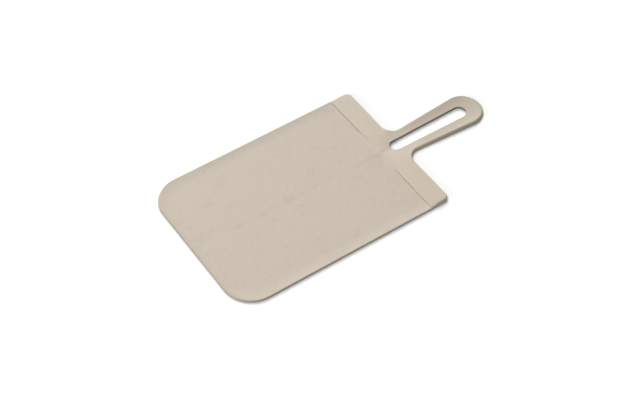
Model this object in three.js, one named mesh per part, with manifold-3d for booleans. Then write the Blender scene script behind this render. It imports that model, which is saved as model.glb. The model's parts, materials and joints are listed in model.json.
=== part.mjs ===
// Folding cutting board with a loop handle, laid flat.
// One plastic moulding: two stiff halves joined by film hinges on the centre line.
// Squeezing the handle lifts both halves into a chute.
// Millimetres. X runs along the board towards the handle, Y across it, Z up.
// The origin is on the table, under the middle of the length and of the width.

import * as THREE from 'three';
import { mergeVertices } from 'three/addons/utils/BufferGeometryUtils.js';
import Module from 'manifold-3d';

// Cutting panels
const PANEL_LENGTH = 208;
const BOARD_WIDTH = 165;
const PANEL_THICKNESS = 2.8;
const FRONT_CORNER_RADIUS = 29;

// Shoulders: the stiff bar behind the crease, thicker towards its outer ends
const SHOULDER_DEPTH = 20.5;
const SHOULDER_RISE = 1.5;
const REAR_CORNER_RADIUS = 5.5;

// Loop handle: a shallow valley in section, lowest on the centre line
const HANDLE_LENGTH = 98.5;
const NECK_WIDTH = 31.5;
const NECK_FILLET_RADIUS = 11.5;
const BOW_RADIUS = 20;
const GRIP_RISE = 1.1;

// Slot through the handle, round at both ends
const SLOT_SETBACK = 7.9;
const SLOT_NECK_WIDTH = 12;
const SLOT_BOW_WIDTH = 14.2;
const BOW_DEPTH = 17.5;

// Film hinges, level with the top face, over a fold line whose faces butt when flat
const FILM_WIDTH = 1;
const FILM_THICKNESS = 0.6;
const FILM_CLEARANCE = 0.15;
const BUTT_GAP = 0.3;

// Finishes of the one sand-coloured plastic
const GRAINED = { colour: 0xcbc0b1, roughness: 0.7 };
const SATIN = { colour: 0xccc2b4, roughness: 0.5 };
const FILM = { colour: 0xc8bcab, roughness: 0.5 };

// Facets in a quarter turn, and how far a cutting tool runs past what it cuts
const QUARTER_FACETS = 10;
const TOOL_OVERRUN = 5;

// Points of an outline that lie closer than this count as one
const POINT_SPACING = 0.001;

// Places along X
const OVERALL_LENGTH = PANEL_LENGTH + SHOULDER_DEPTH + HANDLE_LENGTH;
const X_FRONT = -OVERALL_LENGTH / 2;
const X_CREASE = X_FRONT + PANEL_LENGTH;
const X_REAR = X_CREASE + SHOULDER_DEPTH;
const X_TIP = X_REAR + HANDLE_LENGTH;
const X_NECK = X_REAR + NECK_FILLET_RADIUS;
const X_SLOT_FRONT = X_REAR - SLOT_SETBACK;
const X_SLOT_END = X_TIP - BOW_DEPTH;

// Places across Y and up Z
const Y_EDGE = BOARD_WIDTH / 2;
const Y_NECK = NECK_WIDTH / 2;
const Y_BUTT = BUTT_GAP / 2;
const Z_FOLD = PANEL_THICKNESS - FILM_THICKNESS / 2;
const FILM_SEAT = Math.hypot(FILM_WIDTH, FILM_THICKNESS) / 2 + FILM_CLEARANCE;
const Z_TOOL = PANEL_THICKNESS + SHOULDER_RISE + GRIP_RISE + TOOL_OVERRUN;

// Slopes of the top face, from the centre line outwards
const SHOULDER_SLOPE = SHOULDER_RISE / Y_EDGE;
const GRIP_SLOPE = GRIP_RISE / BOW_RADIUS;

const wasm = await Module();
wasm.setup();

function toSolid(geometry) {
  const bare = geometry.clone();
  bare.deleteAttribute('normal');
  bare.deleteAttribute('uv');
  const merged = mergeVertices(bare);
  const mesh = new wasm.Mesh({
    numProp: 3,
    vertProperties: new Float32Array(merged.attributes.position.array),
    triVerts: new Uint32Array(merged.index.array),
  });
  return new wasm.Manifold(mesh);
}

function toGeometry(solid) {
  const mesh = solid.getMesh();
  const geometry = new THREE.BufferGeometry();
  geometry.setAttribute('position', new THREE.BufferAttribute(mesh.vertProperties, mesh.numProp));
  geometry.setIndex(new THREE.BufferAttribute(mesh.triVerts, 1));
  const faceted = geometry.toNonIndexed();
  faceted.computeVertexNormals();
  return faceted;
}

// Points of an arc, both ends included, angles in radians
function arc(x, y, radius, from, to) {
  const steps = Math.max(2, Math.ceil(Math.abs(to - from) / (Math.PI / 2) * QUARTER_FACETS));
  return Array.from({ length: steps + 1 }, (_, i) => {
    const angle = from + (to - from) * i / steps;
    return [x + radius * Math.cos(angle), y + radius * Math.sin(angle)];
  });
}

// The point of a circle on the centre line at an angle
function onCircle({ x, radius }, angle) {
  return [x + radius * Math.cos(angle), radius * Math.sin(angle)];
}

// A straight edge between two points, as a function of x
function edge([fromX, fromY], [toX, toY]) {
  return (x) => fromY + (toY - fromY) * (x - fromX) / (toX - fromX);
}

// An outline without the points that fall on the one before
function distinct(outline) {
  return outline.filter(([x, y], i) => {
    const [beforeX, beforeY] = outline.at(i - 1);
    return Math.hypot(x - beforeX, y - beforeY) > POINT_SPACING;
  });
}

// A plate of the outline, drawn on the left half and mirrored for the right one
function plate(outline, side) {
  const points = distinct(outline).map(([x, y]) => new THREE.Vector2(x, side * y));
  const shape = new THREE.Shape(points);
  const geometry = new THREE.ExtrudeGeometry(shape, { depth: Z_TOOL, bevelEnabled: false });
  return toSolid(geometry);
}

// The space under a top face that climbs from the centre line by a slope set at each station
function valley(stations, side) {
  const reach = Y_EDGE + TOOL_OVERRUN;
  const sections = stations.map(({ x, slope }) => [
    [x, 0, 0],
    [x, side * reach, 0],
    [x, side * reach, PANEL_THICKNESS + slope * reach],
    [x, 0, PANEL_THICKNESS],
  ]);
  const corners = sections[0].length;
  const last = corners * (sections.length - 1);
  const quads = [[0, 3, 2, 1], [last, last + 1, last + 2, last + 3]];
  for (let start = 0; start < last; start += corners) {
    for (let i = 0; i < corners; i += 1) {
      const next = (i + 1) % corners;
      quads.push([start + i, start + next, start + corners + next, start + corners + i]);
    }
  }
  const triangles = quads.flatMap(([a, b, c, d]) => [[a, b, c], [a, c, d]]);
  const facing = side > 0 ? triangles : triangles.map(([a, b, c]) => [a, c, b]);
  const geometry = new THREE.BufferGeometry();
  geometry.setAttribute('position', new THREE.Float32BufferAttribute(sections.flat(2), 3));
  geometry.setIndex(facing.flat());
  return toSolid(geometry);
}

// The channel along the fold line that the film turns in
function filmChannel() {
  const length = OVERALL_LENGTH + 2 * TOOL_OVERRUN;
  const floor = Z_FOLD - FILM_SEAT;
  const geometry = new THREE.BoxGeometry(length, 2 * FILM_SEAT, Z_TOOL);
  geometry.translate(0, 0, floor + Z_TOOL / 2);
  return toSolid(geometry);
}

function piece(name, geometry, { colour, roughness }) {
  const material = new THREE.MeshStandardMaterial({ color: colour, roughness, metalness: 0 });
  const mesh = new THREE.Mesh(geometry, material);
  mesh.name = name;
  return mesh;
}

// Slot: round ends joined by straight sides that touch both
const slotNeck = { x: X_SLOT_FRONT + SLOT_NECK_WIDTH / 2, radius: SLOT_NECK_WIDTH / 2 };
const slotBow = { x: X_SLOT_END - SLOT_BOW_WIDTH / 2, radius: SLOT_BOW_WIDTH / 2 };
const slotFlare = Math.asin((slotBow.radius - slotNeck.radius) / (slotBow.x - slotNeck.x));
const slotTouch = Math.PI / 2 + slotFlare;
const slotFrom = onCircle(slotNeck, slotTouch);
const slotTo = onCircle(slotBow, slotTouch);
const slotY = edge(slotFrom, slotTo);

// Handle: its outer side runs from the end of the neck fillet to touch the round of the bow
const bow = { x: X_TIP - BOW_RADIUS, radius: BOW_RADIUS };
const neckToBow = Math.hypot(bow.x - X_NECK, Y_NECK);
const outerTouch = Math.PI - Math.atan2(Y_NECK, bow.x - X_NECK) - Math.acos(bow.radius / neckToBow);
const outerTo = onCircle(bow, outerTouch);
const outerY = edge([X_NECK, Y_NECK], outerTo);

// The legs lie between the round ends, the neck fillet and the round of the bow
const X_LEG = Math.max(X_NECK, slotFrom[0]);
const X_BOW = Math.min(slotTo[0], outerTo[0]);

// Outlines of the left half, seen from above
const panelOutline = [
  [X_CREASE, Y_BUTT],
  [X_CREASE, Y_EDGE],
  ...arc(X_FRONT + FRONT_CORNER_RADIUS, Y_EDGE - FRONT_CORNER_RADIUS, FRONT_CORNER_RADIUS,
    Math.PI / 2, Math.PI),
  [X_FRONT, Y_BUTT],
];

const shoulderOutline = [
  [X_CREASE, Y_BUTT],
  ...arc(slotNeck.x, 0, slotNeck.radius, Math.PI - Math.asin(Y_BUTT / slotNeck.radius), slotTouch),
  [X_LEG, slotY(X_LEG)],
  [X_LEG, outerY(X_LEG)],
  ...arc(X_NECK, Y_NECK + NECK_FILLET_RADIUS, NECK_FILLET_RADIUS, -Math.PI / 2, -Math.PI),
  ...arc(X_REAR - REAR_CORNER_RADIUS, Y_EDGE - REAR_CORNER_RADIUS, REAR_CORNER_RADIUS,
    0, Math.PI / 2),
  [X_CREASE, Y_EDGE],
];

const legOutline = [
  [X_LEG, slotY(X_LEG)],
  [X_BOW, slotY(X_BOW)],
  [X_BOW, outerY(X_BOW)],
  [X_LEG, outerY(X_LEG)],
];

const bowOutline = [
  [X_BOW, slotY(X_BOW)],
  ...arc(slotBow.x, 0, slotBow.radius, slotTouch, Math.asin(Y_BUTT / slotBow.radius)),
  ...arc(bow.x, 0, bow.radius, Math.asin(Y_BUTT / bow.radius), outerTouch),
  [X_BOW, outerY(X_BOW)],
];

// Top faces: level over the panel, a slight valley over the shoulder, a steeper one on the handle
const panelTop = [{ x: X_FRONT, slope: 0 }, { x: X_CREASE, slope: 0 }];
const shoulderTop = [
  { x: X_CREASE, slope: SHOULDER_SLOPE },
  { x: X_REAR, slope: SHOULDER_SLOPE },
  { x: X_LEG, slope: GRIP_SLOPE },
];
const legTop = [{ x: X_LEG, slope: GRIP_SLOPE }, { x: X_BOW, slope: GRIP_SLOPE }];
const bowTop = [{ x: X_BOW, slope: GRIP_SLOPE }, { x: X_TIP, slope: GRIP_SLOPE }];

const zones = [
  { zone: 'panel', outline: panelOutline, top: panelTop, finish: GRAINED },
  { zone: 'shoulder', outline: shoulderOutline, top: shoulderTop, finish: SATIN },
  { zone: 'handle_leg', outline: legOutline, top: legTop, finish: SATIN },
  { zone: 'handle_bow', outline: bowOutline, top: bowTop, finish: SATIN },
];

const halves = [{ half: 'left', side: 1 }, { half: 'right', side: -1 }];

const object = new THREE.Group();
const channel = filmChannel();
for (const { half, side } of halves) {
  for (const { zone, outline, top, finish } of zones) {
    const solid = plate(outline, side).intersect(valley(top, side)).subtract(channel);
    object.add(piece(`${half}_${zone}`, toGeometry(solid), finish));
  }
}

// Films: one from the front edge to the slot, one across the bow
function film(name, from, to) {
  const geometry = new THREE.BoxGeometry(to - from, FILM_WIDTH, FILM_THICKNESS);
  geometry.translate((from + to) / 2, 0, Z_FOLD);
  return piece(name, geometry, FILM);
}

object.add(film('centre_film_hinge', X_FRONT, X_SLOT_FRONT));
object.add(film('bow_film_hinge', X_SLOT_END, X_TIP));

export default object;
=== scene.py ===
"""A folding cutting board with a loop handle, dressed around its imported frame."""

import json
import math

import bmesh
import bpy
from bpy.props import FloatProperty, FloatVectorProperty, PointerProperty
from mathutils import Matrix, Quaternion, Vector
from mathutils.geometry import delaunay_2d_cdt


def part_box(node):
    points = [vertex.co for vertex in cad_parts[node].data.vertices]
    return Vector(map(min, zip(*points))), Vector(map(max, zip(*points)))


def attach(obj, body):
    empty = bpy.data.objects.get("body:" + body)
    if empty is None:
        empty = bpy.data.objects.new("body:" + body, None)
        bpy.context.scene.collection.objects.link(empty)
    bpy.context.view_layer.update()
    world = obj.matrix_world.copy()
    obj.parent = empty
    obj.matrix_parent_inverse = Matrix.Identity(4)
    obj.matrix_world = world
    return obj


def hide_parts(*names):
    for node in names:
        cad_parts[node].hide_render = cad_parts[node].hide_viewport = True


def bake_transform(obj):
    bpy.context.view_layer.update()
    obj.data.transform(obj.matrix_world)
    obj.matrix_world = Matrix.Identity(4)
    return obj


bl_info = {
    "name": "Folding Cutting Board",
    "version": (1, 0, 0),
    "blender": (4, 5, 0),
    "location": "View3D > Sidebar > Board",
    "description": "Builds a folding cutting board with a loop handle",
    "category": "Add Mesh",
}

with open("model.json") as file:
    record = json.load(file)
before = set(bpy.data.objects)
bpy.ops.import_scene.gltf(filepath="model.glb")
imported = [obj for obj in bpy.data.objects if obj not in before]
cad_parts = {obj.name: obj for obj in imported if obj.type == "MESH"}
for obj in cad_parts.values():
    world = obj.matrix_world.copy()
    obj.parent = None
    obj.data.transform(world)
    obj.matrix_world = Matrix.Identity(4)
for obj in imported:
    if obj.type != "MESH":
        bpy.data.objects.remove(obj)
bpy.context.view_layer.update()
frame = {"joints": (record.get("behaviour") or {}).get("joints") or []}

# Places that the frame gives, in metres
PANEL_LOW, PANEL_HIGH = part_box("left_panel")
SHOULDER_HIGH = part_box("left_shoulder")[1]
BOW_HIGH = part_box("left_handle_bow")[1]
CENTRE_FILM_LOW, CENTRE_FILM_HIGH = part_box("centre_film_hinge")
BOW_FILM_LOW, BOW_FILM_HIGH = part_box("bow_film_hinge")
FOLD_Z = frame["joints"][0]["pos_m"][2]
X_FRONT = PANEL_LOW.x
X_CREASE = PANEL_HIGH.x
X_NECK = SHOULDER_HIGH.x
X_SLOT_FRONT = CENTRE_FILM_HIGH.x
X_SLOT_END = BOW_FILM_LOW.x
X_TIP = BOW_FILM_HIGH.x
Y_EDGE = PANEL_HIGH.y
Y_BUTT = PANEL_LOW.y
THICKNESS = PANEL_HIGH.z

MM = 0.001
HALVES = (("left", 1), ("right", -1))
QUARTER = math.pi / 2

# Fineness of the meshes
ARC_STEP = math.radians(3)
RUN_STEP = 2.5 * MM
FOOT_LEVELS = 4
LOWER_LEVELS = 3
UPPER_LEVELS = 8
LEDGE_EASE = 0.12 * MM
FLAT_EDGE = 0.3 * MM
SUPPORT = 0.4 * MM
CORNER_CLEARANCE = 2 * SUPPORT
CORNER_COSINE = 0.5
SMOOTH_ANGLE = math.radians(32)
CREASE_LEAN = 0.3 * MM
FILL_INSIDE = 1
FILL_NEARNESS = 1e-9
DOUBLE_DISTANCE = 1e-8

# Rows of points on the top faces, and how far they keep from the edge
FINE_STEP = 0.8 * MM
PANEL_STEP = 5 * MM
PANEL_CLEARANCE = 0.4 * MM
FRAME_STEP = 1.25 * MM
FRAME_CLEARANCE = 0.6 * MM

# Where the panel's rows of points start and stop, as shares of each form's width
SEAT_START = 2
DIP_STOP, DIP_START = 1.2, 1.6
RIM_START = 1.2
EASE_START = 1.5

# The film hinges
FILM_CLEARANCE = 0.15 * MM
FILM_RIBS = 10
FILM_STEP = 2.5 * MM
FILM_SKIN = 0.25 * MM
FILM_TOP_CLEARANCE = 0.03 * MM
FILM_FOOT_CLEARANCE = 0.01 * MM

# Detail of the plastic
GRAIN_FADE = 0.5 * MM
PEBBLE_SMOOTHNESS = 0.6
PEBBLE_SHARE, SPECK_SHARE, WRINKLE_SHARE = 0.7, 0.3, 0.6
SPECKS_PER_PEBBLE = 3
FINE_DETAIL, BROAD_DETAIL = 3.0, 2.0
NOISE_MIDDLE = 0.5
ROUGH_MOTTLE = 0.05
WRINKLE_WIDTH = 0.05
WRINKLE_STEP = 0.47, 0.56
# Where the patches of painted shade along the fold begin and end
FOLD_PATCH_STEP = 0.42, 0.62
HANDLE_FADE = 20 * MM
WALL_FADE = 0.3 * MM


def length(name, description, default):
    """A length that a user may set."""
    return FloatProperty(
        name=name, description=description, default=default, unit="LENGTH", precision=5
    )


def colour(name, description, default):
    """A colour that a user may set."""
    return FloatVectorProperty(
        name=name,
        description=description,
        default=default,
        size=3,
        min=0,
        max=1,
        subtype="COLOR",
    )


class BoardSizes(bpy.types.PropertyGroup):
    """Sizes of the moulding that the frame's boxes don't give."""

    front_corner: length("Front corner", "Radius of the front corners", 29 * MM)
    rear_corner: length("Rear corner", "Radius of the shoulders' corners", 5.5 * MM)
    neck_width: length("Neck width", "Width of the handle at its neck", 31.5 * MM)
    neck_fillet: length("Neck fillet", "Radius between shoulder and neck", 11.5 * MM)
    bow_radius: length("Bow radius", "Outer radius of the handle's end", 20 * MM)
    slot_neck: length("Slot at neck", "Width of the slot at the neck", 12 * MM)
    slot_bow: length("Slot at bow", "Width of the slot at the bow", 14.2 * MM)
    film_seat: length(
        "Film seat",
        "Half width of the channel that the film bends in",
        math.hypot(
            CENTRE_FILM_HIGH.y - CENTRE_FILM_LOW.y,
            CENTRE_FILM_HIGH.z - CENTRE_FILM_LOW.z,
        )
        / 2
        + FILM_CLEARANCE,
    )
    film_foot: length("Film underside", "Height of the film's underside", 2 * MM)
    panel_edge: length("Panel edge", "Rounding of the panels' sides", 0.6 * MM)
    front_edge: length("Front edge", "Rounding of the panels' front", 2.2 * MM)
    rear_edge: length("Rear edge", "Rounding of the shoulders' rear", 0.6 * MM)
    end_edge: length("End edge", "Rounding of the shoulders' outer ends", 2.1 * MM)
    handle_edge: length("Handle edge", "Rounding outside the handle", 2.4 * MM)
    slot_edge: length("Slot edge", "Rounding of the slot's edge", 0.3 * MM)
    crease_edge: length("Crease edge", "Rounding along the crease", 0.21 * MM)
    foot_edge: length("Foot edge", "Rounding of the lower edge", 0.35 * MM)
    end_foot: length("End foot", "Lower rounding of the shoulders' ends", 1.8 * MM)
    end_start: FloatProperty(
        name="End start",
        description="Share of the ends' rounding that stands at the crease",
        default=0.75,
    )
    crease_fade: length("Crease fade", "Where the crease has faded out", 16 * MM)
    crease_full: length("Crease full", "Where the crease is full", 34 * MM)
    neck_ease: length("Neck ease", "Length of the ramp behind the crease", 10 * MM)
    riser_share: FloatProperty(
        name="Riser share",
        description="Share of the shoulder's height that stands at the crease",
        default=0.05,
    )
    valley_round: length("Valley round", "Softness of the valley's bottom", 0.8 * MM)
    knee_reach: length("Knee", "Where the valley meets the flatter shoulder", 16 * MM)
    knee_rise: length("Knee rise", "Height of the shoulder at the knee", 0.8 * MM)
    knee_round: length("Knee round", "Softness of the knee", 0.3 * MM)
    grip_hollow: FloatProperty(
        name="Grip hollow",
        description="Power by which the handle rises to its outer edge",
        default=2.8,
    )
    rim_rise: length("Rim rise", "Height of the rim over the cutting face", 0.8 * MM)
    rim_reach: length("Rim reach", "Width of the panels' raised rim", 12 * MM)
    dip_depth: length("Dip depth", "Depth of the dip along the fold", 0.04 * MM)
    dip_reach: length("Dip reach", "Half width of the dip along the fold", 4.5 * MM)


class BoardFinish(bpy.types.PropertyGroup):
    """Colours and grain of the plastic, and the shade painted along the fold and on the
    slot's walls.
    """

    panel_colour: colour(
        "Panel colour", "Colour of the grained panels", (0.486, 0.414, 0.333)
    )
    frame_colour: colour(
        "Frame colour", "Colour of the satin shoulders and handle", (0.468, 0.394, 0.303)
    )
    handle_shade: FloatProperty(
        name="Handle shade",
        description="How much darker the handle is than the shoulders",
        default=0.12,
    )
    # Painted shade: how much darker the slot's walls are painted, in place of the shade that
    # falls in the slot
    slot_shade: FloatProperty(
        name="Slot shade",
        description="How much darker the slot's walls are than the handle",
        default=0.4,
    )
    panel_roughness: FloatProperty(
        name="Panel roughness", description="Roughness of the panels", default=0.5
    )
    frame_roughness: FloatProperty(
        name="Frame roughness", description="Roughness of the frame", default=0.42
    )
    mottle: FloatProperty(
        name="Mottle", description="How far the colour varies", default=0.012
    )
    mottle_size: length("Mottle size", "Width of the mottled patches", 4 * MM)
    # Painted shade along the fold: how dark its patches on the panels are, how wide and long
    # they are, and how much darker the neck's fold is painted
    fold_tint: FloatProperty(
        name="Fold tint",
        description="How dark the worn places on the fold are",
        default=0.07,
    )
    fold_reach: length("Fold reach", "Half width of the worn fold", 4 * MM)
    wear_size: length("Wear size", "Length of the worn places on the fold", 24 * MM)
    film_tint: FloatProperty(
        name="Film tint", description="How much darker the neck's fold is", default=0.1
    )
    wrinkle_tint: FloatProperty(
        name="Wrinkle tint", description="How dark the grain's wrinkles are", default=0.07
    )
    wrinkle_size: length("Wrinkle size", "Distance between the wrinkles", 7 * MM)
    grain_size: length("Grain size", "Width of one pebble of the grain", 2.2 * MM)
    grain_depth: length("Grain depth", "Depth of the panels' grain", 0.1 * MM)
    satin_depth: length("Satin depth", "Depth of the frame's grain", 0.004 * MM)


class StudioSettings(bpy.types.PropertyGroup):
    """Camera and light."""

    lens: FloatProperty(
        name="Lens", description="Focal length in millimetres", default=88.5
    )
    camera_azimuth: FloatProperty(
        name="Azimuth",
        description="Camera's turn round the board",
        default=math.radians(-33.87),
        subtype="ANGLE",
    )
    camera_elevation: FloatProperty(
        name="Elevation",
        description="Camera's height over the table",
        default=math.radians(49.77),
        subtype="ANGLE",
    )
    camera_roll: FloatProperty(
        name="Roll",
        description="Camera's tilt about its line of sight",
        default=math.radians(-0.47),
        subtype="ANGLE",
    )
    camera_distance: length("Distance", "Camera to the point it looks at", 1.4593)
    camera_target: FloatVectorProperty(
        name="Target",
        description="Point that the camera looks at",
        default=(-33.82 * MM, -14.05 * MM, 0),
        size=3,
        subtype="TRANSLATION",
    )
    floor_colour: colour("Floor colour", "Colour of the floor", (0.6, 0.6, 0.6))
    sky_strength: FloatProperty(
        name="Sky", description="Level of the even light all round", default=0.26
    )
    key_strength: FloatProperty(
        name="Key", description="Level of the left lamp on the table", default=0.37
    )
    key_direction: FloatVectorProperty(
        name="Key direction",
        description="Direction from the board to the left lamp",
        default=(0.20, 0.68, 0.70),
        size=3,
        subtype="DIRECTION",
    )
    key_angle: FloatProperty(
        name="Key angle",
        description="How broad the left lamp looks from the board",
        default=math.radians(36),
        subtype="ANGLE",
    )
    key_colour: colour("Key colour", "Colour of the left lamp", (1, 0.98, 0.95))
    front_strength: FloatProperty(
        name="Front", description="Level of the low lamp in front", default=0.095
    )
    front_direction: FloatVectorProperty(
        name="Front direction",
        description="Direction from the board to the low lamp in front",
        default=(-0.95, -0.05, 0.30),
        size=3,
        subtype="DIRECTION",
    )
    front_angle: FloatProperty(
        name="Front angle",
        description="How broad the low lamp in front looks from the board",
        default=math.radians(24),
        subtype="ANGLE",
    )
    front_colour: colour("Front colour", "Colour of the low lamp in front", (0.94, 0.97, 1))
    back_strength: FloatProperty(
        name="Back", description="Level of the low lamp behind", default=0.1
    )
    back_direction: FloatVectorProperty(
        name="Back direction",
        description="Direction from the board to the low lamp behind",
        default=(0.45, 0.70, 0.50),
        size=3,
        subtype="DIRECTION",
    )
    back_angle: FloatProperty(
        name="Back angle",
        description="How broad the low lamp behind looks from the board",
        default=math.radians(30),
        subtype="ANGLE",
    )
    back_colour: colour("Back colour", "Colour of the low lamp behind", (1, 1, 1))
    fill_strength: FloatProperty(
        name="Fill", description="Level of the front softbox on the table", default=0.19
    )
    fill_place: FloatVectorProperty(
        name="Fill place",
        description="Place of the front softbox",
        default=(-0.7, -0.05, 1.25),
        size=3,
        subtype="TRANSLATION",
    )
    fill_size: length("Fill size", "Width of the front softbox", 0.5)
    fill_colour: colour("Fill colour", "Colour of the front softbox", (0.92, 0.97, 1))


# The floor, and the tone that makes it white to the camera
FLOOR_REACH = 6
FLOOR_DROP = 0.05 * MM
SHOWN_WHITE = 1.07, 1.07, 1.07, 1

# Its tone far off, where the softbox fades
FAR_WHITE = 1.35, 1.35, 1.35, 1
FAR_START, FAR_FULL = 0.5, 2.5

RELIEF_NAME = "Moulded relief"

# Where a Mix node keeps its colours among its sockets
MIX_COLOURS, MIX_RESULT = 6, 2


class Value:
    """A node's socket. Its arithmetic adds Math nodes."""

    def __init__(self, graph, socket):
        self.graph = graph
        self.socket = socket

    def math(self, operation, *values):
        return self.graph.node("ShaderNodeMath", {"operation": operation}, *values)

    def __add__(self, other):
        return self.math("ADD", self, other)

    def __radd__(self, other):
        return self.math("ADD", other, self)

    def __sub__(self, other):
        return self.math("SUBTRACT", self, other)

    def __rsub__(self, other):
        return self.math("SUBTRACT", other, self)

    def __mul__(self, other):
        return self.math("MULTIPLY", self, other)

    def __rmul__(self, other):
        return self.math("MULTIPLY", other, self)

    def __truediv__(self, other):
        return self.math("DIVIDE", self, other)

    def __rtruediv__(self, other):
        return self.math("DIVIDE", other, self)

    def __pow__(self, other):
        return self.math("POWER", self, other)

    def __abs__(self):
        return self.math("ABSOLUTE", self)

    def output(self, name):
        """Another output of the same node."""
        return Value(self.graph, self.socket.node.outputs[name])


class Graph:
    """Adds nodes to a tree."""

    def __init__(self, tree):
        self.tree = tree

    def node(self, kind, settings=None, *values, **named):
        """A node with its settings, then its sockets by order or by name."""
        made = self.tree.nodes.new(kind)
        for name, setting in (settings or {}).items():
            setattr(made, name, setting)
        sockets = dict(enumerate(values))
        sockets.update({name.replace("_", " "): value for name, value in named.items()})
        for key, value in sockets.items():
            if isinstance(value, Value):
                self.tree.links.new(value.socket, made.inputs[key])
            elif value is not None:
                made.inputs[key].default_value = value
        return Value(self, made.outputs[0]) if made.outputs else made

    def step(self, value, low, high, start=0.0, stop=1.0):
        """A smooth step of the value from low to high."""
        settings = {"interpolation_type": "SMOOTHSTEP", "clamp": True}
        return self.node("ShaderNodeMapRange", settings, value, low, high, start, stop)

    def mix(self, factor, first, second):
        """A mix of two colours."""
        settings = {"data_type": "RGBA"}
        numbers = [None] * (MIX_COLOURS - 1)
        made = self.node("ShaderNodeMix", settings, factor, *numbers, first, second)
        return Value(self, made.socket.node.outputs[MIX_RESULT])


class Station:
    """A point of an outline, with the side faces that meet there."""

    # A face is its direction inwards, its upper rounding and its lower rounding
    def __init__(self, point, faces, ledge=False):
        self.point = point
        self.faces = faces
        self.ledge = ledge

    def inset(self, z):
        """How far the side leans inwards at a height."""
        total = Vector((0, 0))
        for inwards, edge, foot in self.faces:
            over = z - (THICKNESS - edge)
            if over > 0:
                total += inwards * (edge - math.sqrt(max(0, edge**2 - over**2)))
            under = foot - z
            if under > 0:
                total += inwards * (foot - math.sqrt(max(0, foot**2 - under**2)))
        return total

    def outside(self, corner):
        """Whether the station lies outside the rounding of the face at a corner."""
        rounding = corner.faces[0][1]
        return (self.point - corner.point).length > rounding + CORNER_CLEARANCE

    def place(self, z):
        """The point of the side at a height."""
        x, y = self.point + self.inset(z)
        return x, y, z


def along(size):
    """A rounding as a function of the outline's point."""
    return size if callable(size) else lambda point: size


def straight(start, stop, edge, foot, ledge=False):
    """A straight run of stations, the object on its left."""
    start, stop = Vector(start), Vector(stop)
    heading = (stop - start).normalized()
    inwards = Vector((-heading.y, heading.x))
    steps = max(1, round((stop - start).length / RUN_STEP))
    points = [start.lerp(stop, i / steps) for i in range(steps + 1)]
    edge_at, foot_at = along(edge), along(foot)
    return [Station(p, [(inwards, edge_at(p), foot_at(p))], ledge) for p in points]


def bend(centre, radius, start, stop, edge, foot):
    """A round run of stations, the object on its left."""
    centre = Vector(centre)
    steps = max(2, math.ceil(abs(stop - start) / ARC_STEP))
    turn = 1 if stop > start else -1
    edge_at, foot_at = along(edge), along(foot)
    run = []
    for i in range(steps + 1):
        angle = start + (stop - start) * i / steps
        out = Vector((math.cos(angle), math.sin(angle)))
        point = centre + out * radius
        run.append(Station(point, [(-out * turn, edge_at(point), foot_at(point))]))
    return run


def outline(*runs):
    """A closed outline. A corner's station keeps both faces, and the next ones make room."""
    stations = []
    following = runs[1:] + runs[:1]
    joins = [(run[-1], after[0]) for run, after in zip(runs, following)]
    turns = [last.faces[0][0].dot(first.faces[0][0]) for last, first in joins]
    corners = [turn < CORNER_COSINE for turn in turns]
    for i, run in enumerate(runs):
        last, first = joins[i]
        kept = run[1:-1]
        if corners[i - 1]:
            kept = [s for s in kept if s.outside(joins[i - 1][0])]
        if corners[i]:
            kept = [s for s in kept if s.outside(first)]
        faces = last.faces + first.faces if corners[i] else last.faces
        stations += kept
        stations.append(Station(last.point, faces, last.ledge or first.ledge))
    return stations


def levels(station, sizes):
    """Heights of the rings at a station, from the underside to the top face."""
    edge = max(max(face[1] for face in station.faces), FLAT_EDGE)
    foot = max(max(face[2] for face in station.faces), FLAT_EDGE)
    ledge = FOLD_Z - sizes.film_seat
    ease = 0 if station.ledge else LEDGE_EASE
    turns = [QUARTER * i / FOOT_LEVELS for i in range(FOOT_LEVELS + 1)]
    heights = [foot * (1 - math.cos(turn)) for turn in turns]
    shelf = THICKNESS - edge
    lower_stop, upper_start = ledge - ease, ledge + ease

    def rounded(start, stop, count):
        low, high = (math.asin(1 - (THICKNESS - z) / edge) for z in (start, stop))
        turns = [low + (high - low) * i / (count - 1) for i in range(count)]
        return [shelf + edge * math.sin(turn) for turn in turns]

    if shelf < lower_stop:
        heights += rounded(max(shelf, foot), lower_stop, LOWER_LEVELS + 1)[1:]
        heights += rounded(upper_start, THICKNESS, UPPER_LEVELS)
    else:
        rise = (lower_stop - foot) / LOWER_LEVELS
        heights += [foot + rise * (i + 1) for i in range(LOWER_LEVELS)]
        heights += [upper_start] + rounded(shelf, THICKNESS, UPPER_LEVELS - 1)
    return heights


def ring_of(station, sizes):
    """Points of the plate's side at a station, with the ledge under the film."""
    points = [Vector(station.place(z)) for z in levels(station, sizes)]
    if station.ledge:
        for point in points[: FOOT_LEVELS + 1 + LOWER_LEVELS]:
            point.y += Y_BUTT - station.point.y
    support = station.point.copy()
    for inwards, edge, _ in station.faces:
        support += inwards * (edge + SUPPORT)
    points.append(Vector((*support, THICKNESS)))
    return points


def inside(point, ring):
    """Whether a point lies inside a ring."""
    within = False
    for (ax, ay), (bx, by) in zip(ring, ring[1:] + ring[:1]):
        if (ay > point[1]) != (by > point[1]):
            if point[0] < ax + (bx - ax) * (point[1] - ay) / (by - ay):
                within = not within
    return within


def clear_of(point, ring, distance):
    """Whether a point keeps a distance from the points of a ring."""
    limit = distance**2
    return all((x - point[0]) ** 2 + (y - point[1]) ** 2 > limit for x, y in ring)


def filled(ring, extra):
    """Triangles that fill a ring, through the extra points inside it."""
    points = [Vector(p) for p in ring] + [Vector(p) for p in extra]
    count = len(ring)
    edges = [(i, (i + 1) % count) for i in range(count)]
    made = delaunay_2d_cdt(points, edges, [], FILL_INSIDE, FILL_NEARNESS)
    _, _, faces, origins, _, _ = made
    if any(len(origin) != 1 for origin in origins):
        raise RuntimeError("an outline crosses itself")
    source = [origin[0] for origin in origins]
    return [[source[i] for i in face] for face in faces]


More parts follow.
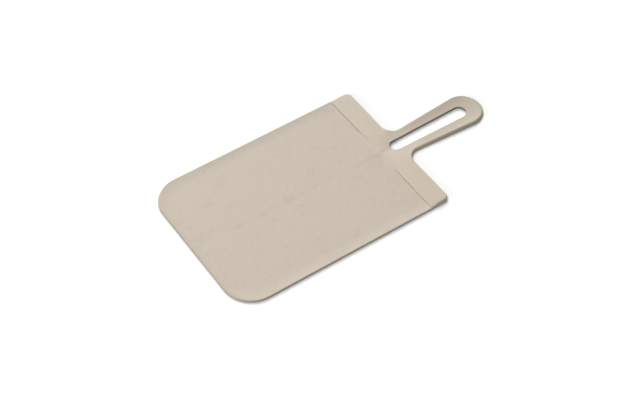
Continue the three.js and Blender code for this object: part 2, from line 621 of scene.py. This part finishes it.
def grid(ring, xs, ys, distance):
    """Points of a grid that lie well inside a ring."""
    points = [(x, y) for x in xs for y in ys]
    return [p for p in points if inside(p, ring) and clear_of(p, ring, distance)]


def spaced(start, stop, step):
    """Evenly spaced values from start to stop."""
    count = max(1, round((stop - start) / step))
    return [start + (stop - start) * i / count for i in range(count + 1)]


def new_object(name, points, faces, side):
    """An object from points and faces of the left half, mirrored for the right one."""
    build = bmesh.new()
    made = [build.verts.new((x, side * y, z)) for x, y, z in points]
    for face in faces:
        build.faces.new([made[i] for i in (face if side > 0 else reversed(face))])
    bmesh.ops.remove_doubles(build, verts=build.verts, dist=DOUBLE_DISTANCE)
    mesh = bpy.data.meshes.new(name)
    build.to_mesh(mesh)
    build.free()
    piece = bpy.data.objects.new(name, mesh)
    bpy.context.scene.collection.objects.link(piece)
    return piece


def plate(name, stations, sizes, extra, side):
    """A closed plate with rounded edges inside an outline."""
    columns = [ring_of(station, sizes) for station in stations]
    count, height = len(columns), len(columns[0])
    points = [column[level] for level in range(height) for column in columns]
    faces = []
    for level in range(height - 1):
        for i in range(count):
            j = (i + 1) % count
            low, high = level * count, (level + 1) * count
            faces.append((low + i, low + j, high + j, high + i))
    foot = [column[0].xy for column in columns]
    faces += [list(reversed(face)) for face in filled(foot, [])]
    top = [column[-1].xy for column in columns]
    inner = extra(top)
    start = (height - 1) * count
    faces += [[start + i for i in face] for face in filled(top, inner)]
    points += [Vector((*p, THICKNESS)) for p in inner]
    return new_object(name, points, faces, side)


def relief_tree():
    """Shapes the top face: shoulders, hollow handle, dip on the fold, sunk cutting face."""
    tree = bpy.data.node_groups.new(RELIEF_NAME, "GeometryNodeTree")
    tree.is_modifier = True
    inputs = (
        "Thickness",
        "Front",
        "Edge",
        "Corner",
        "Crease",
        "Slot",
        "Neck",
        "Knee",
        "Knee Rise",
        "Knee Round",
        "Shoulder Slope",
        "Grip Reach",
        "Grip Rise",
        "Grip Hollow",
        "Crease Fade",
        "Crease Full",
        "Neck Ease",
        "Riser Share",
        "Valley Round",
        "Dip Depth",
        "Dip Reach",
        "Rim Rise",
        "Rim Reach",
    )
    face = tree.interface
    face.new_socket("Geometry", in_out="INPUT", socket_type="NodeSocketGeometry")
    for name in inputs:
        face.new_socket(name, in_out="INPUT", socket_type="NodeSocketFloat")
    face.new_socket("Material", in_out="INPUT", socket_type="NodeSocketMaterial")
    face.new_socket("Geometry", in_out="OUTPUT", socket_type="NodeSocketGeometry")

    graph = Graph(tree)
    given = graph.node("NodeGroupInput")
    size = {name: given.output(name) for name in inputs}
    position = graph.node("GeometryNodeInputPosition")
    place = graph.node("ShaderNodeSeparateXYZ", None, position)
    x, y, z = (place.output(axis) for axis in "XYZ")
    half = abs(y)
    across = (y * y + size["Valley Round"] ** 2) ** 0.5 - size["Valley Round"]

    valley = across * size["Knee Rise"] / size["Knee"]
    flatter = size["Knee Rise"] + (across - size["Knee"]) * size["Shoulder Slope"]
    shoulder = x.math("SMOOTH_MIN", valley, flatter, size["Knee Round"])
    outwards = x.math("MINIMUM", across / size["Grip Reach"], 1.0)
    grip = size["Grip Rise"] * outwards ** size["Grip Hollow"]
    gripped = graph.step(x, size["Slot"], size["Neck"])
    gripped = gripped * graph.step(half, size["Knee"], 2 * size["Knee"], 1.0, 0.0)
    fading = graph.step(
        half, size["Crease Fade"], size["Crease Full"], size["Neck Ease"], CREASE_LEAN
    )
    behind = x - size["Crease"]
    crossed = graph.step(behind / fading, -0.5, 0.5)
    ramp = (1 - size["Riser Share"]) * graph.step(behind / size["Neck Ease"], 0.0, 1.0)
    rising = size["Riser Share"] * crossed + ramp
    raised = (shoulder + (grip - shoulder) * gripped) * rising

    dip = size["Dip Depth"] * (1 - graph.step(half, 0.0, size["Dip Reach"]))
    beside = x.math("MAXIMUM", half - size["Edge"] + size["Corner"], 0.0)
    before = x.math("MAXIMUM", size["Front"] + size["Corner"] - x, 0.0)
    depth = size["Corner"] - (beside * beside + before * before) ** 0.5
    nearness = x.math("MAXIMUM", 1 - depth / size["Rim Reach"], 0.0)
    sunk = size["Rim Rise"] * (1 - nearness * nearness) * (1 - crossed)
    rise = z * (raised - dip - sunk) / size["Thickness"]

    lift = graph.node("ShaderNodeCombineXYZ", None, 0.0, 0.0, rise)
    moved = graph.node("GeometryNodeSetPosition", None, given, Offset=lift)
    smooth = graph.node("GeometryNodeSetShadeSmooth", None, moved)
    real = graph.node("GeometryNodeRealizeInstances", None, smooth)
    dressed = graph.node(
        "GeometryNodeSetMaterial", None, real, Material=given.output("Material")
    )
    graph.node("NodeGroupOutput", None, dressed)
    return tree


def raise_relief(piece, tree, values):
    """Runs the relief on a piece and keeps the result as its plain mesh."""
    modifier = piece.modifiers.new("Relief", "NODES")
    modifier.node_group = tree
    for item in tree.interface.items_tree:
        if item.in_out == "INPUT" and item.name in values:
            modifier[item.identifier] = values[item.name]
    evaluated = piece.evaluated_get(bpy.context.evaluated_depsgraph_get())
    mesh = bpy.data.meshes.new_from_object(evaluated)
    piece.modifiers.clear()
    bare = piece.data
    piece.data = mesh
    bpy.data.meshes.remove(bare)
    mesh.name = piece.name
    mesh.set_sharp_from_angle(angle=SMOOTH_ANGLE)


def relief_values(sizes, material):
    """Inputs of the relief."""
    shoulder_rise = SHOULDER_HIGH.z - THICKNESS
    return {
        "Thickness": THICKNESS,
        "Front": X_FRONT,
        "Edge": Y_EDGE,
        "Corner": sizes.front_corner,
        "Crease": X_CREASE,
        "Slot": X_SLOT_FRONT,
        "Neck": X_NECK,
        "Knee": sizes.knee_reach,
        "Knee Rise": sizes.knee_rise,
        "Knee Round": sizes.knee_round,
        "Shoulder Slope": (shoulder_rise - sizes.knee_rise) / (Y_EDGE - sizes.knee_reach),
        "Grip Reach": sizes.bow_radius - sizes.handle_edge,
        "Grip Rise": BOW_HIGH.z - THICKNESS,
        "Grip Hollow": sizes.grip_hollow,
        "Crease Fade": sizes.crease_fade,
        "Crease Full": sizes.crease_full,
        "Neck Ease": sizes.neck_ease,
        "Riser Share": sizes.riser_share,
        "Valley Round": sizes.valley_round,
        "Dip Depth": sizes.dip_depth,
        "Dip Reach": sizes.dip_reach,
        "Rim Rise": sizes.rim_rise,
        "Rim Reach": sizes.rim_reach,
        "Material": material,
    }


def relief():
    """The relief's tree, made once."""
    return bpy.data.node_groups.get(RELIEF_NAME) or relief_tree()


def eased(share):
    """A share from 0 to 1 with soft ends."""
    share = min(1, max(0, share))
    return share * share * (3 - 2 * share)


def crease_edge_at(sizes):
    """Rounding along the crease, none near the neck."""

    def radius(point):
        reach = sizes.crease_full - sizes.crease_fade
        return sizes.crease_edge * eased((abs(point.y) - sizes.crease_fade) / reach)

    return radius


def panel_outline(sizes):
    """Outline of the left panel, from the fold line round by the crease and the front."""
    seat, edge, foot = sizes.film_seat, sizes.panel_edge, sizes.foot_edge
    radius = sizes.front_corner

    def corner_edge(point):
        share = eased((X_FRONT + radius - point.x) / radius)
        return edge + (sizes.front_edge - edge) * share

    return outline(
        straight((X_FRONT, seat), (X_CREASE, seat), 0, 0, ledge=True),
        straight((X_CREASE, seat), (X_CREASE, Y_EDGE), crease_edge_at(sizes), 0),
        straight((X_CREASE, Y_EDGE), (X_FRONT + radius, Y_EDGE), edge, foot),
        bend(
            (X_FRONT + radius, Y_EDGE - radius),
            radius,
            QUARTER,
            2 * QUARTER,
            corner_edge,
            foot,
        ),
        straight((X_FRONT, Y_EDGE - radius), (X_FRONT, seat), sizes.front_edge, foot),
    )


def frame_outline(sizes):
    """Outline of the left shoulder and half handle, round the slot and back by the neck."""
    seat, foot = sizes.film_seat, sizes.foot_edge
    slot_edge, edge = sizes.slot_edge, sizes.rear_edge
    x_rear = X_NECK - sizes.neck_fillet
    y_neck = sizes.neck_width / 2

    neck_radius, bow_radius = sizes.slot_neck / 2, sizes.slot_bow / 2
    slot_neck = Vector((X_SLOT_FRONT + neck_radius, 0))
    slot_bow = Vector((X_SLOT_END - bow_radius, 0))
    flare = math.asin((bow_radius - neck_radius) / (slot_bow.x - slot_neck.x))
    slot_touch = QUARTER + flare
    slot_side = Vector((math.cos(slot_touch), math.sin(slot_touch)))

    bow = Vector((X_TIP - sizes.bow_radius, 0))
    reach = bow.x - X_NECK
    outer_touch = (
        2 * QUARTER
        - math.atan2(y_neck, reach)
        - math.acos(sizes.bow_radius / math.hypot(reach, y_neck))
    )
    outer = bow + Vector((math.cos(outer_touch), math.sin(outer_touch))) * sizes.bow_radius
    slot_front = slot_neck.x - math.sqrt(neck_radius**2 - seat**2)
    slot_end = slot_bow.x + math.sqrt(bow_radius**2 - seat**2)
    tip = bow.x + math.sqrt(sizes.bow_radius**2 - seat**2)

    def neck_edge(point):
        share = eased((point.x - x_rear) / (X_NECK - x_rear))
        return edge + (sizes.handle_edge - edge) * share

    grip = sizes.handle_edge
    corner = sizes.rear_corner
    end, end_foot = sizes.end_edge, sizes.end_foot

    def corner_share(point):
        return eased((point.y - Y_EDGE + corner) / corner)

    def corner_edge(point):
        return edge + (end - edge) * corner_share(point)

    def corner_foot(point):
        return foot + (end_foot - foot) * corner_share(point)

    def end_share(point):
        share = eased((point.x - X_CREASE) / (x_rear - corner - X_CREASE))
        return sizes.end_start + (1 - sizes.end_start) * share

    def side_edge(point):
        return end * end_share(point)

    def side_foot(point):
        return end_foot * end_share(point)

    return outline(
        straight((X_CREASE, seat), (slot_front, seat), 0, 0, ledge=True),
        bend(
            slot_neck,
            neck_radius,
            2 * QUARTER - math.asin(seat / neck_radius),
            slot_touch,
            slot_edge,
            foot,
        ),
        straight(
            slot_neck + slot_side * neck_radius,
            slot_bow + slot_side * bow_radius,
            slot_edge,
            foot,
        ),
        bend(
            slot_bow, bow_radius, slot_touch, math.asin(seat / bow_radius), slot_edge, foot
        ),
        straight((slot_end, seat), (tip, seat), 0, 0, ledge=True),
        bend(
            bow,
            sizes.bow_radius,
            math.asin(seat / sizes.bow_radius),
            outer_touch,
            grip,
            foot,
        ),
        straight(outer, (X_NECK, y_neck), grip, foot),
        bend(
            (X_NECK, y_neck + sizes.neck_fillet),
            sizes.neck_fillet,
            -QUARTER,
            -2 * QUARTER,
            neck_edge,
            foot,
        ),
        straight(
            (x_rear, y_neck + sizes.neck_fillet), (x_rear, Y_EDGE - corner), edge, foot
        ),
        bend(
            (x_rear - corner, Y_EDGE - corner), corner, 0, QUARTER, corner_edge, corner_foot
        ),
        straight((x_rear - corner, Y_EDGE), (X_CREASE, Y_EDGE), side_edge, side_foot),
        straight((X_CREASE, Y_EDGE), (X_CREASE, seat), crease_edge_at(sizes), 0),
    )


def film_strip(name, columns, sizes, side):
    """Half of a film, from the fold line to its seat, through columns of points."""
    points, faces = [], []
    ribs = FILM_RIBS + 1
    loop = 2 * ribs
    for column in columns:
        for i in range(ribs):
            y = sizes.film_seat * i / FILM_RIBS
            x, top, _ = column(y)
            points.append((x, y, top))
        for i in reversed(range(ribs)):
            y = sizes.film_seat * i / FILM_RIBS
            x, _, foot = column(y)
            points.append((x, y, foot))
    for c in range(len(columns) - 1):
        for i in range(loop):
            j = (i + 1) % loop
            start, stop = c * loop, (c + 1) * loop
            faces.append((start + i, stop + i, stop + j, start + j))
    end = (len(columns) - 1) * loop
    for i in range(FILM_RIBS):
        back = loop - 1 - i
        faces.append((i, i + 1, back - 1, back))
        faces.append((end + i, end + back, end + back - 1, end + i + 1))
    return new_object(name, points, faces, side)


def film_columns(sizes, low, high, low_edge, high_edge):
    """Columns of a film between two ends. At y a column gives x, top and underside."""
    ledge = FOLD_Z - sizes.film_seat

    def end_column(end, edge, share, inwards):
        deepest = max(THICKNESS - edge, ledge + FILM_TOP_CLEARANCE)
        start = math.asin(1 - (THICKNESS - deepest) / edge)
        turn = start + (QUARTER - start) * share
        top = THICKNESS - edge * (1 - math.sin(turn))
        foot = min(sizes.film_foot, max(ledge + FILM_FOOT_CLEARANCE, top - FILM_SKIN))

        def column(y):
            return end(y) + inwards * edge * (1 - math.cos(turn)), top, foot

        return column

    def middle_column(share):
        def column(y):
            start, stop = low(y) + low_edge, high(y) - high_edge
            return start + (stop - start) * share, THICKNESS, sizes.film_foot

        return column

    shares = [i / (UPPER_LEVELS - 1) for i in range(UPPER_LEVELS)]
    ribs = max(2, round((high(0) - low(0)) / FILM_STEP))
    columns = [end_column(low, low_edge, share, 1) for share in shares]
    columns += [middle_column(i / ribs) for i in range(1, ribs)]
    columns += [end_column(high, high_edge, share, -1) for share in reversed(shares)]
    return columns


def slot_walls(graph, x, y, z, sizes):
    """One on the walls of the handle's slot, between its lower and upper edges, where shade
    is painted.
    """
    half = sizes.slot_bow / 2
    behind = graph.step(x, X_SLOT_FRONT - WALL_FADE, X_SLOT_FRONT)
    before = graph.step(x, X_SLOT_END, X_SLOT_END + WALL_FADE, 1.0, 0.0)
    between = graph.step(abs(y), half, half + WALL_FADE, 1.0, 0.0)
    over = graph.step(z, 0.0, WALL_FADE)
    under = graph.step(z, THICKNESS - WALL_FADE, THICKNESS, 1.0, 0.0)
    return behind * before * between * over * under


def noise(graph, place, size, detail):
    """Soft noise with patches of a size."""
    return graph.node(
        "ShaderNodeTexNoise", None, Vector=place, Scale=1 / size, Detail=detail
    )


def moulded_plastic(sizes, finish):
    """Sand-coloured plastic, made once: pebbled in front of the crease, satin behind it,
    with shade painted along the fold and on the slot's walls.
    """
    name = "moulded_plastic"
    if name in bpy.data.materials:
        return bpy.data.materials[name]
    material = bpy.data.materials.new(name)
    material.use_nodes = True
    material.node_tree.nodes.clear()
    graph = Graph(material.node_tree)
    place = graph.node("ShaderNodeTexCoord").output("Object")
    split = graph.node("ShaderNodeSeparateXYZ", None, place)
    x, y, z = (split.output(axis) for axis in "XYZ")
    panel = graph.step(x, X_CREASE - GRAIN_FADE, X_CREASE, 1.0, 0.0)
    handle = graph.step(x, X_NECK, X_NECK + HANDLE_FADE)
    fold = graph.step(abs(y), 0.0, finish.fold_reach, 1.0, 0.0)

    patch = noise(graph, place, finish.mottle_size, FINE_DETAIL)
    speck = noise(graph, place, finish.grain_size / SPECKS_PER_PEBBLE, FINE_DETAIL)
    wander = noise(graph, place, finish.wrinkle_size, BROAD_DETAIL)
    patchy = noise(graph, place, finish.wear_size, BROAD_DETAIL)
    pebble = graph.node(
        "ShaderNodeTexVoronoi",
        {"feature": "SMOOTH_F1"},
        Vector=place,
        Scale=1 / finish.grain_size,
        Smoothness=PEBBLE_SMOOTHNESS,
    )
    wrinkle = graph.step(abs(wander - NOISE_MIDDLE), 0.0, WRINKLE_WIDTH, 1.0, 0.0) * panel
    wrinkle = wrinkle * graph.step((patch + patchy) / 2, *WRINKLE_STEP)
    # Painted shade along the fold: broken dark patches on the panels and an even darkening
    # on the neck, in place of the shade in the fold's valley
    painted_shade_on_fold = finish.fold_tint * graph.step(patchy, *FOLD_PATCH_STEP) * panel
    painted_shade_on_fold = fold * (painted_shade_on_fold + finish.film_tint * (1 - panel) * (1 - handle))
    satin = finish.satin_depth / finish.grain_depth
    grain = pebble * PEBBLE_SHARE + speck * SPECK_SHARE - wrinkle * WRINKLE_SHARE
    height = grain * (satin + (1 - satin) * panel)
    bump = graph.node("ShaderNodeBump", None, Distance=finish.grain_depth, Height=height)

    plain = graph.mix(panel, (*finish.frame_colour, 1), (*finish.panel_colour, 1))
    uneven = patch - NOISE_MIDDLE
    shade = 1 + uneven * (2 * finish.mottle) - handle * finish.handle_shade
    shade = shade - wrinkle * finish.wrinkle_tint - painted_shade_on_fold
    # Painted shade: the slot's walls are darkened in place of the shade that falls in the
    # slot
    shade = shade - slot_walls(graph, x, y, z, sizes) * finish.slot_shade
    base = graph.node("ShaderNodeVectorMath", {"operation": "SCALE"}, plain, Scale=shade)
    change = finish.panel_roughness - finish.frame_roughness
    rough = finish.frame_roughness + change * panel + uneven * ROUGH_MOTTLE
    shader = graph.node(
        "ShaderNodeBsdfPrincipled", None, Base_Color=base, Roughness=rough, Normal=bump
    )
    graph.node("ShaderNodeOutputMaterial", None, shader)
    return material


def add_camera(studio):
    """The camera of the photograph."""
    azimuth, elevation = studio.camera_azimuth, studio.camera_elevation
    back = Vector(
        (
            math.sin(azimuth) * math.cos(elevation),
            -math.cos(azimuth) * math.cos(elevation),
            math.sin(elevation),
        )
    )
    data = bpy.data.cameras.new("camera")
    data.lens = studio.lens
    camera = bpy.data.objects.new("camera", data)
    camera.location = Vector(studio.camera_target) + back * studio.camera_distance
    roll = Quaternion((0, 0, 1), studio.camera_roll)
    camera.rotation_euler = ((-back).to_track_quat("-Z", "Y") @ roll).to_euler()
    bpy.context.scene.collection.objects.link(camera)
    bpy.context.scene.camera = camera


def background_rays(graph):
    """One for rays that show the background: to the camera, mirrored or through glass."""
    path = graph.node("ShaderNodeLightPath")
    shown = path.math("MAXIMUM", path, path.output("Is Glossy Ray"))
    return path.math("MAXIMUM", shown, path.output("Is Transmission Ray"))


def add_floor(studio):
    """A wide pale floor that is white to the camera and keeps the shadow."""
    mesh = bpy.data.meshes.new("floor")
    signs = [(-1, -1), (1, -1), (1, 1), (-1, 1)]
    corners = [(i * FLOOR_REACH, j * FLOOR_REACH, -FLOOR_DROP) for i, j in signs]
    mesh.from_pydata(corners, [], [(0, 1, 2, 3)])
    floor = bpy.data.objects.new("floor", mesh)
    bpy.context.scene.collection.objects.link(floor)
    material = bpy.data.materials.new("floor_paper")
    material.use_nodes = True
    material.node_tree.nodes.clear()
    graph = Graph(material.node_tree)
    shown = background_rays(graph)
    place = graph.node("ShaderNodeTexCoord").output("Object")
    measure = graph.node("ShaderNodeVectorMath", {"operation": "LENGTH"}, place)
    away = graph.step(measure.output("Value"), FAR_START, FAR_FULL)
    white = graph.mix(away, SHOWN_WHITE, FAR_WHITE)
    tone = graph.mix(shown, (*studio.floor_colour, 1), white)
    paper = graph.node("ShaderNodeBsdfDiffuse", None, tone)
    graph.node("ShaderNodeOutputMaterial", None, paper)
    mesh.materials.append(material)


def add_sky(scene, studio):
    """Even white light all round, white to the camera."""
    world = bpy.data.worlds.new("studio_sky")
    world.use_nodes = True
    world.node_tree.nodes.clear()
    graph = Graph(world.node_tree)
    shown = background_rays(graph)
    level = studio.sky_strength + (1 - studio.sky_strength) * shown
    sky = graph.node("ShaderNodeBackground", None, (1, 1, 1, 1), level)
    graph.node("ShaderNodeOutputWorld", None, sky)
    scene.world = world


def add_lamp(data, place):
    """A lamp at a place, turned to the board's middle."""
    lamp = bpy.data.objects.new(data.name, data)
    lamp.location = place
    lamp.rotation_euler = (-place).to_track_quat("-Z", "Y").to_euler()
    bpy.context.scene.collection.objects.link(lamp)


def add_sun(studio, name):
    """A broad soft lamp far away, its strength the level that it gives a level face."""
    direction = Vector(getattr(studio, f"{name}_direction")).normalized()
    data = bpy.data.lights.new(f"{name}_lamp", "SUN")
    data.energy = getattr(studio, f"{name}_strength") * math.pi / direction.z
    data.angle = getattr(studio, f"{name}_angle")
    data.color = getattr(studio, f"{name}_colour")
    add_lamp(data, direction)


def add_fill(studio):
    """A softbox over the front, its strength the level that it gives the board's middle."""
    place = Vector(studio.fill_place)
    data = bpy.data.lights.new("fill_lamp", "AREA")
    data.size = studio.fill_size
    data.energy = studio.fill_strength * math.pi**2 * place.length**3 / place.z
    data.color = studio.fill_colour
    add_lamp(data, place)


class BOARD_OT_stage(bpy.types.Operator):
    """Makes the camera, the floor, the lamps and the sky"""

    bl_idname = "board.stage"
    bl_label = "Stage"

    def execute(self, context):
        studio = context.scene.board_studio
        add_camera(studio)
        add_floor(studio)
        add_sky(context.scene, studio)
        for lamp in ("key", "front", "back"):
            add_sun(studio, lamp)
        add_fill(studio)
        context.scene.view_settings.view_transform = "Standard"
        return {"FINISHED"}


class BOARD_OT_panels(bpy.types.Operator):
    """Makes the two grained cutting panels"""

    bl_idname = "board.panels"
    bl_label = "Cutting panels"

    def execute(self, context):
        sizes, finish = context.scene.board_sizes, context.scene.board_finish
        material = moulded_plastic(sizes, finish)
        stations = panel_outline(sizes)
        dip, rim = sizes.dip_reach, sizes.rim_reach
        ease = sizes.neck_ease / 2
        ys = spaced(SEAT_START * sizes.film_seat, DIP_STOP * dip, FINE_STEP)
        ys += spaced(DIP_START * dip, Y_EDGE - RIM_START * rim, PANEL_STEP)
        ys += spaced(Y_EDGE - rim, Y_EDGE, FINE_STEP)
        xs = spaced(X_FRONT, X_FRONT + rim, FINE_STEP)
        xs += spaced(X_FRONT + RIM_START * rim, X_CREASE - EASE_START * ease, PANEL_STEP)
        xs += spaced(X_CREASE - ease, X_CREASE, FINE_STEP)

        def extra(ring):
            return grid(ring, xs, ys, PANEL_CLEARANCE)

        for half, side in HALVES:
            piece = plate(f"{half}_cutting_panel", stations, sizes, extra, side)
            raise_relief(piece, relief(), relief_values(sizes, material))
            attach(piece, f"{half}_half")
            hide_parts(f"{half}_panel")
        return {"FINISHED"}


class BOARD_OT_frames(bpy.types.Operator):
    """Makes the two satin shoulders, each with its half of the loop handle"""

    bl_idname = "board.frames"
    bl_label = "Shoulders and handle"

    def execute(self, context):
        sizes, finish = context.scene.board_sizes, context.scene.board_finish
        material = moulded_plastic(sizes, finish)
        stations = frame_outline(sizes)
        xs = spaced(X_CREASE, X_TIP, FRAME_STEP)
        ys = spaced(0, Y_EDGE, FRAME_STEP)

        def extra(ring):
            return grid(ring, xs, ys, FRAME_CLEARANCE)

        for half, side in HALVES:
            piece = plate(f"{half}_handle_frame", stations, sizes, extra, side)
            raise_relief(piece, relief(), relief_values(sizes, material))
            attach(piece, f"{half}_half")
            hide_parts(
                f"{half}_shoulder", f"{half}_handle_leg", f"{half}_handle_bow"
            )
        return {"FINISHED"}


class BOARD_OT_films(bpy.types.Operator):
    """Makes the film hinges, each in two halves, one on each side of the fold"""

    bl_idname = "board.films"
    bl_label = "Film hinges"

    def execute(self, context):
        sizes, finish = context.scene.board_sizes, context.scene.board_finish
        material = moulded_plastic(sizes, finish)
        neck_radius, bow_radius = sizes.slot_neck / 2, sizes.slot_bow / 2

        def front(y):
            return X_FRONT

        def slot_front(y):
            return X_SLOT_FRONT + neck_radius - math.sqrt(neck_radius**2 - y**2)

        def slot_end(y):
            return X_SLOT_END - bow_radius + math.sqrt(bow_radius**2 - y**2)

        def tip(y):
            return X_TIP - sizes.bow_radius + math.sqrt(sizes.bow_radius**2 - y**2)

        films = (
            ("centre_film", front, slot_front, sizes.front_edge, sizes.slot_edge),
            ("bow_film", slot_end, tip, sizes.slot_edge, sizes.handle_edge),
        )
        for film, low, high, low_edge, high_edge in films:
            columns = film_columns(sizes, low, high, low_edge, high_edge)
            for half, side in HALVES:
                piece = film_strip(f"{film}_{half}", columns, sizes, side)
                raise_relief(piece, relief(), relief_values(sizes, material))
                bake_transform(piece)
                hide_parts(f"{film}_hinge")
        return {"FINISHED"}


class BOARD_PT_panel(bpy.types.Panel):
    """Lists the board's sizes, finish and steps"""

    bl_idname = "BOARD_PT_panel"
    bl_label = "Folding Cutting Board"
    bl_space_type = "VIEW_3D"
    bl_region_type = "UI"
    bl_category = "Board"

    def draw(self, context):
        layout = self.layout
        for step in STEPS:
            layout.operator(step.bl_idname)
        for group in GROUPS:
            column = layout.column(align=True)
            owner = getattr(context.scene, group)
            for name in owner.__annotations__:
                column.prop(owner, name)


GROUPS = {
    "board_sizes": BoardSizes,
    "board_finish": BoardFinish,
    "board_studio": StudioSettings,
}
STEPS = (BOARD_OT_stage, BOARD_OT_panels, BOARD_OT_frames, BOARD_OT_films)
CLASSES = (*GROUPS.values(), *STEPS, BOARD_PT_panel)


def register():
    for cls in CLASSES:
        bpy.utils.register_class(cls)
    for name, group in GROUPS.items():
        setattr(bpy.types.Scene, name, PointerProperty(type=group))


def unregister():
    for name in GROUPS:
        delattr(bpy.types.Scene, name)
    for cls in reversed(CLASSES):
        bpy.utils.unregister_class(cls)


def main():
    register()
    bpy.ops.board.stage()
    bpy.ops.board.panels()
    bpy.ops.board.frames()
    bpy.ops.board.films()


if __name__ == "__main__":
    main()
